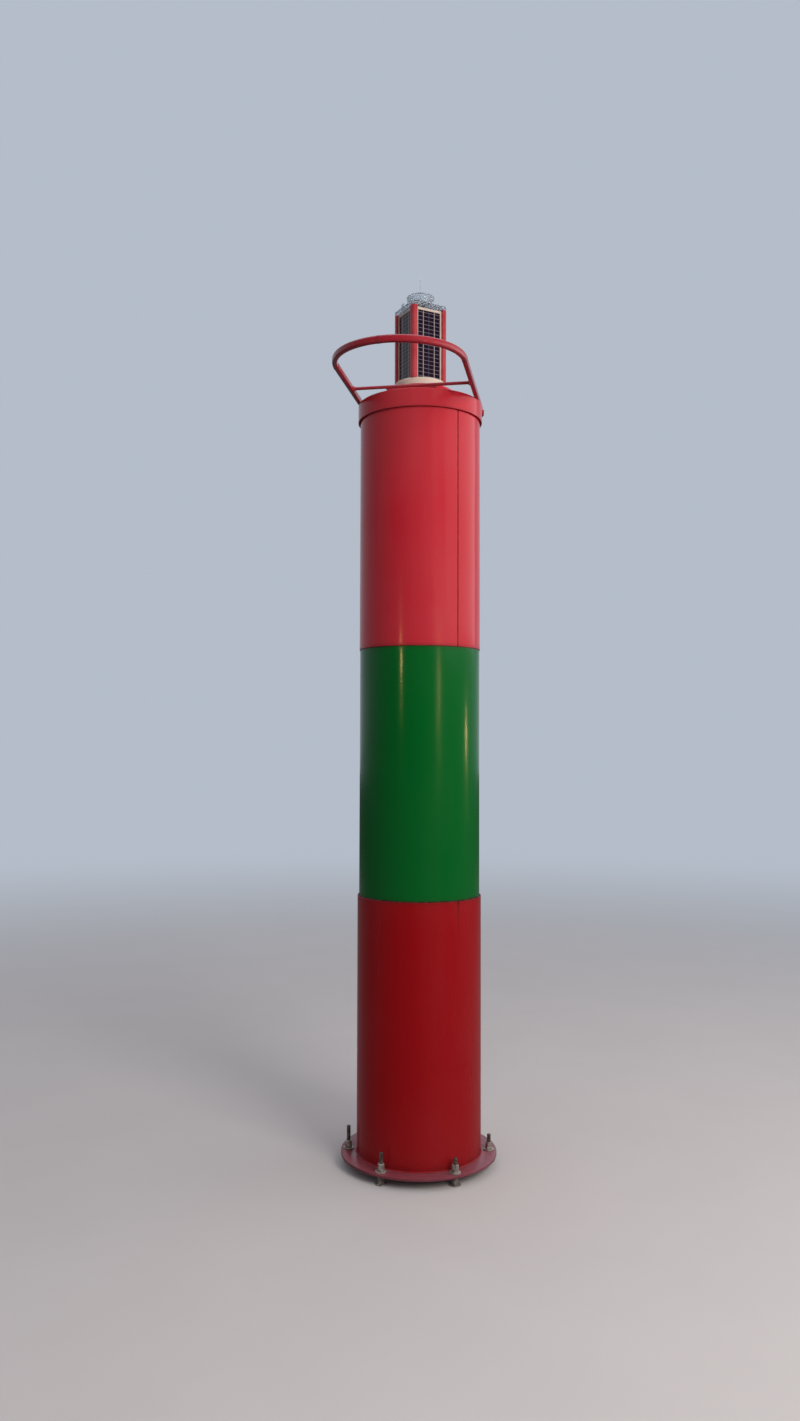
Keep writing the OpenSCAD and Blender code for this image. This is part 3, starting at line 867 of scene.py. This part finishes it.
class DressLens(bpy.types.Operator):
    """Build the clear cover, its clips, the lens, the light tower and the bird spike"""

    bl_idname = "quay_light.lens"
    bl_label = "Cover and lens"

    def execute(self, context):
        turn, axis = np.degrees(settings()[2].turn), lantern_axis()
        clear = clear_moulding("clear polycarbonate", linear("#C6C8CE"), 1.50, 0.02, 0.42)
        acrylic = clear_moulding("clear acrylic", linear("#D8DEE4"), 1.49, 0.01, 0.16)
        shelf, top = high("lantern_posts")[2], low("lens_drum")[2]

        # Cover: an upturned tray. Rows run over the outside, under the rim and back inside to the ceiling
        wall, ceiling = 0.003, top - 0.0040
        # Each row's share of the outline, its inset and its height
        rows = np.array([(0, 0.006, top), (1, 0.006, top), (1, 0.0035, top), (1, 0.0015, top - 0.0006),
                         (1, 0.0004, top - 0.0018), (1, 0, top - 0.0035), (1, 0, shelf + 0.0012),
                         (1, 0.0003, shelf), (1, wall, shelf), (1, wall, ceiling - 0.002),
                         (1, 0.004, ceiling - 0.0005), (1, 0.006, ceiling), (0, 0.006, ceiling)])
        outline = oblong(2 * HALF_BODY, 2 * HALF_BODY, POST_CORNER * 1.5, 9)
        tray = carried(outline, rows[:, 2:] * Z, X, Y, rows[:, 1], rows[:, 0])
        # Between the posts the cover laps down behind a thin skirt with upright ribs
        lap, hem, soft = HALF_BODY - settings()[2].recess, high("panel_frames")[2], 0.0006
        skirt = bar(oblong(2 * (HALF_BODY - POST), 0.0030, 0.0008, 3), [0, -lap + 0.0015, hem],
                    [0, -lap + 0.0015, top - 0.0030], X, Y, soft)
        rib = bar(oblong(0.0022, 0.010, 0.0006, 3), [0, -lap + 0.0085, hem + 0.002],
                  [0, -lap + 0.0085, top - 0.0032], X, Y, soft)
        ribs = [net(rib + [x, 0, 0]) for x in np.linspace(-0.048, 0.048, 9)]
        piece("clear_cover", [moved(net(tray), axis, turn), *on_sides(net(skirt), *ribs)], clear,
              ["top_cover"])

        # Clips: a strap with a hook over the cover's edge
        clip_top, clip_bottom = high("cover_clips")[2], low("cover_clips")[2]
        thick, half_wide, lip = 0.004, 0.006, 0.0015
        hook = rounded([[0.0, clip_bottom], [thick, clip_bottom + 0.002], [thick, clip_top - 0.003],
                        [0.0022, clip_top], [-thick, clip_top], [-thick, clip_top - 0.0025],
                        [0.0, clip_top - 0.0040]], [0.0006, 0.001, 0.001, 0.001, 0.0006, 0.0006, 0.001])
        middle = np.array([lip, 0.5 * (clip_top + clip_bottom)])
        strap = bar((hook - middle)[::-1] * [-1, 1], [-half_wide, -HALF_BODY - lip, middle[1]],
                    [half_wide, -HALF_BODY - lip, middle[1]], Y, Z, 0.0006)
        piece("cover_latches", on_sides(net(strap)), clear, ["cover_clips"])

        # Lens: one clear cup, upside down, its inner wall cut into ring prisms
        foot, head, crown = low("lens_drum")[2], high("lens_drum")[2], high("lens_cap")[2]
        foot_r, top_r, prism_pitch, prism_depth = 0.046, 0.057, 0.004, 0.0014
        inner = np.linspace(foot, head - 0.001, 67)
        saw = (inner - foot) / prism_pitch % 1
        inside = 0.0425 + 0.0095 * (inner - foot) / (head - foot) - prism_depth * saw
        rim = rounded([[0, crown], [top_r, crown], [top_r, head], [foot_r, foot], [0.0415, foot]],
                      [0, 0.0016, 0.0008, 0.0008, 0.0004])
        cut = int(np.argmax(rim[:, 0] > 0.01))
        profile = np.vstack([rim[:cut], [[0.030, crown], [0.052, crown]], rim[cut:],
                             np.stack([inside, inner], 1), [[0.048, head], [0, head]]])
        piece("lens_cup", [moved(net(round_wall(profile, 128)), axis)], acrylic,
              ["lens_drum", "lens_cap"])

        # Light tower: a stem with three discs, and small domed emitters between them
        white = shared("white polycarbonate", moulded_asa, linear("#E6E6E2"), linear("#F2F2EE"), 0.22)
        stem, disc, half_t, top_gap = 0.017, 0.027, 0.0015, 0.0015
        dome_r, dome_drop, dome_out = 0.0034, 0.0055, 0.0004
        levels = foot + (head - foot) / 4 * np.arange(1, 4)
        profile, radii = [[0, foot], [stem, foot]], [0, 0]
        for level in levels:
            under, over = level - half_t, level + half_t
            profile += [[stem, under], [disc, under], [disc, over], [stem, over]]
            radii += [0.0008, 0.0006, 0.0006, 0.0008]
        profile += [[stem, head - top_gap], [0, head - top_gap]]
        radii += [0.001, 0]
        # Between the discs the stem carries the emitters' dark boards
        stack = round_wall(rounded(profile, radii, 4), 64)
        boards = np.where(np.hypot(stack[..., 0], stack[..., 1]) < stem + 0.0003, 1.0, 0.0)
        t = np.linspace(0, np.pi, 7)
        dome = net(round_wall(dome_r * np.stack([np.sin(t), np.cos(t)], 1), 12))
        tower = [moved(net(stack, grime_and_shade=boards), axis)]
        for level in levels - dome_drop:
            tower += [moved(dome, at + axis) for at in around(stem + dome_out, directions(12), level)]
        piece("light_stack", tower, white, ["light_tower"])

        # Spike: a thin rod on a small foot, blunt at the top
        steel = dipped_zinc("bright zinc wire", linear("#E4E9EE"), linear("#D8DFE6"), linear("#B9B4AE"))
        start, end = low("bird_spike")[2], high("bird_spike")[2]
        z = np.concatenate([[start, start, start + 0.004, start + 0.006],
                            np.linspace(start + 0.007, end - 0.004, 8), [end, end]])
        r = np.concatenate([[0, 0.0035, 0.0032, 0.0018], np.full(8, 0.0016), [0.0005, 0]])
        piece("spike_wire", [moved(net(round_wall(np.stack([r, z], 1), 20)), axis)], steel,
              ["bird_spike"])
        return {"FINISHED"}


def looking_rays(tree):
    """Light Path's rays, and 1 for those that look: from the camera, reflected, or through clear plastic."""
    rays = add(tree, "LightPath").outputs
    looks = add(tree, "Math", LARGER, {0: rays["Is Camera Ray"], 1: rays["Is Glossy Ray"]})
    return rays, add(tree, "Math", LARGER, {0: looks, 1: rays["Is Transmission Ray"]})


def lamp(name, at, towards, size, power, tint, gloss=True, diffuse=True):
    """A soft rectangular lamp that looks at a point; gloss and diffuse say which surfaces see it."""
    data = bpy.data.lights.new(name, "AREA")
    data.shape, (data.size, data.size_y), data.energy, data.color = "RECTANGLE", size, power, tint
    made = bpy.data.objects.new(name, data)
    made.location = at
    made.rotation_euler = (Vector(towards) - Vector(at)).to_track_quat("-Z", "Y").to_euler()
    made.visible_glossy, made.visible_diffuse = gloss, diffuse
    bpy.context.scene.collection.objects.link(made)


class BuildStudio(bpy.types.Operator):
    """Build the floor, the lamps and the camera"""

    bl_idname = "quay_light.studio"
    bl_label = "Studio"

    def floor(self, stage):
        """A round sheet of rings, wider apart with distance, that fades into the background far off."""
        r = np.concatenate([[0], np.geomspace(0.2, 60, 60)])[:, None]
        a = directions(96)
        part = net(np.stack([r * np.cos(a), r * np.sin(a), 0 * r * a], -1))
        mesh = bpy.data.meshes.new("studio_floor")
        mesh.from_pydata(part["points"].tolist(), [], part["quads"].tolist())
        merged(mesh, 1e-6, lambda form: bmesh.ops.recalc_face_normals(form, faces=form.faces))
        floor = bpy.data.objects.new("studio_floor", mesh)
        bpy.context.scene.collection.objects.link(floor)

        made, tree, shader, place = blank("pale studio floor")
        rays, looks = looking_rays(tree)
        mottle = add(tree, "Math", TIMES, {0: spots(tree, place, 0.25, 0.3, 0.7, 5.0), 1: 0.18})
        pale = add(tree, "Mix", COLOURS, {0: mottle, 6: tuple(stage.floor), 7: linear("#DDD6D3")})
        # The light that the floor throws on the column is that of the grey quay, dimmer than the pale floor
        quay = add(tree, "Mix", COLOURS, {0: rays["Is Diffuse Ray"], 6: pale, 7: linear("#6E6868")})
        fill(tree, shader, {"Base Color": quay, "Roughness": 0.75})
        # In the enamel's reflections the floor is a dim one, so that the deep colours stay deep
        dim = add(tree, "Math", TIMES_PLUS, {0: rays["Is Glossy Ray"], 1: -0.88, 2: 1.0})
        glow = add(tree, "Emission", {}, {"Color": tuple(stage.background), "Strength": dim})
        distance = add(tree, "VectorMath", {"operation": "LENGTH"}, {0: place})
        fade = add(tree, "MapRange", {"interpolation_type": "SMOOTHERSTEP"},
                   {"Value": distance, "From Min": 0.8, "From Max": 14.0})
        share = add(tree, "Math", LARGER, {0: add(tree, "Math", TIMES, {0: fade, 1: looks}),
                                           1: add(tree, "Math", TIMES, {0: rays["Is Glossy Ray"], 1: 0.7})})
        blend = add(tree, "MixShader", {}, {0: share, 1: shader, 2: glow})
        fill(tree, tree.nodes["Material Output"], {"Surface": blend})
        mesh.materials.append(made)

    def world(self, stage):
        """Even light on the object, and the plain background in front of everything that looks."""
        world = bpy.data.worlds.new("studio")
        world.use_nodes = True
        bpy.context.scene.world = world
        tree = world.node_tree
        tree.nodes.clear()
        rays, looks = looking_rays(tree)
        way = add(tree, "SeparateXYZ", {}, {0: add(tree, "TexCoord").outputs["Generated"]}).outputs
        # Even light, more than twice as strong from overhead as from the horizon
        lift = add(tree, "MapRange", {}, {"Value": way["Z"], "From Min": 0.0, "From Max": 1.0,
                                          "To Min": 0.75 * stage.daylight, "To Max": 1.9 * stage.daylight})
        even = add(tree, "Background", {}, {"Color": linear("#F2F5FF"), "Strength": lift})
        # A glossy surface sees the room behind the camera dimmer than the backdrop, as in a real studio
        room = add(tree, "MapRange", SMOOTH, {"Value": way["Y"], "From Min": -0.7, "From Max": 0.6,
                                              "To Min": 0.15, "To Max": 1.0})
        # High up the sky is brightest: a pale streak along the guard's upper half, and glints in the lens
        high_up = add(tree, "MapRange", SMOOTH, {"Value": way["Z"], "From Min": 0.55, "From Max": 0.85,
                                                 "To Max": 3.0})
        room = add(tree, "Math", LARGER, {0: room, 1: high_up})
        glossy = add(tree, "Mix", {"data_type": "FLOAT"}, {0: rays["Is Glossy Ray"], 2: 1.0, 3: room})
        shown = add(tree, "Background", {}, {"Color": tuple(stage.background), "Strength": glossy})
        blend = add(tree, "MixShader", {}, {0: looks, 1: even, 2: shown})
        add(tree, "OutputWorld", {}, {"Surface": blend})

    def execute(self, context):
        stage, scene = settings()[3], context.scene
        self.floor(stage)
        self.world(stage)
        lamp("key", (2.9, -4.3, 4.0), (0, 0, 1.9), (2.2, 3.6), stage.key, (1.0, 0.97, 0.93), gloss=False)
        lamp("side", (4.4, -0.5, 3.6), (0, -0.5, 3.0), (7.4, 2.2), stage.side, (1.0, 0.96, 0.95))
        # Small warm lamps far behind the camera: the short upright glints on the green enamel
        for k, (direction, height) in enumerate(((-36, 2.45), (35, 2.15), (98, 1.75))):
            lamp(f"glint_{k}", around(6, np.radians(direction), height), (0, 0, 1.9), (0.06, 0.12),
                 stage.glint, (1.0, 0.64, 0.26), diffuse=False)

        data = bpy.data.cameras.new("camera")
        data.lens, data.sensor_width, data.clip_start, data.clip_end = stage.lens, 36.0, 0.05, 200.0
        camera = bpy.data.objects.new("camera", data)
        camera.location = stage.eye
        camera.rotation_euler = (np.pi / 2 + stage.tilt, stage.roll, 0)
        scene.collection.objects.link(camera)
        scene.camera = camera
        scene.view_settings.view_transform = "Standard"
        return {"FINISHED"}


class QuayLightPanel(bpy.types.Panel):
    """Lists the settings and the steps that build the quay light"""

    bl_idname = "VIEW3D_PT_quay_light"
    bl_label = "Quay light"
    bl_space_type = "VIEW_3D"
    bl_region_type = "UI"
    bl_category = "Quay light"

    def draw(self, context):
        for group in GROUPS:
            held = getattr(context.scene, group)
            box = self.layout.box()
            for key in held.__annotations__:
                box.prop(held, key)
        for step in STEPS:
            self.layout.operator(step.bl_idname)


STEPS = (DressBands, DressLid, DressGuard, DressAnchors, DressLantern, DressLens, BuildStudio)
GROUPS = {"light_column": ColumnSettings, "light_anchors": AnchorSettings,
          "light_lantern": LanternSettings, "light_stage": StageSettings}


def register():
    """Registers the settings, the steps and the panel."""
    for made in (*GROUPS.values(), *STEPS, QuayLightPanel):
        bpy.utils.register_class(made)
    for name, group in GROUPS.items():
        setattr(bpy.types.Scene, name, PointerProperty(type=group))


def unregister():
    """Takes the panel, the steps and the settings away again."""
    for name in GROUPS:
        delattr(bpy.types.Scene, name)
    for made in (QuayLightPanel, *reversed(STEPS), *reversed(GROUPS.values())):
        bpy.utils.unregister_class(made)


def main():
    register()
    for step in STEPS:
        group, name = step.bl_idname.split(".")
        getattr(getattr(bpy.ops, group), name)()


if __name__ == "__main__":
    main()
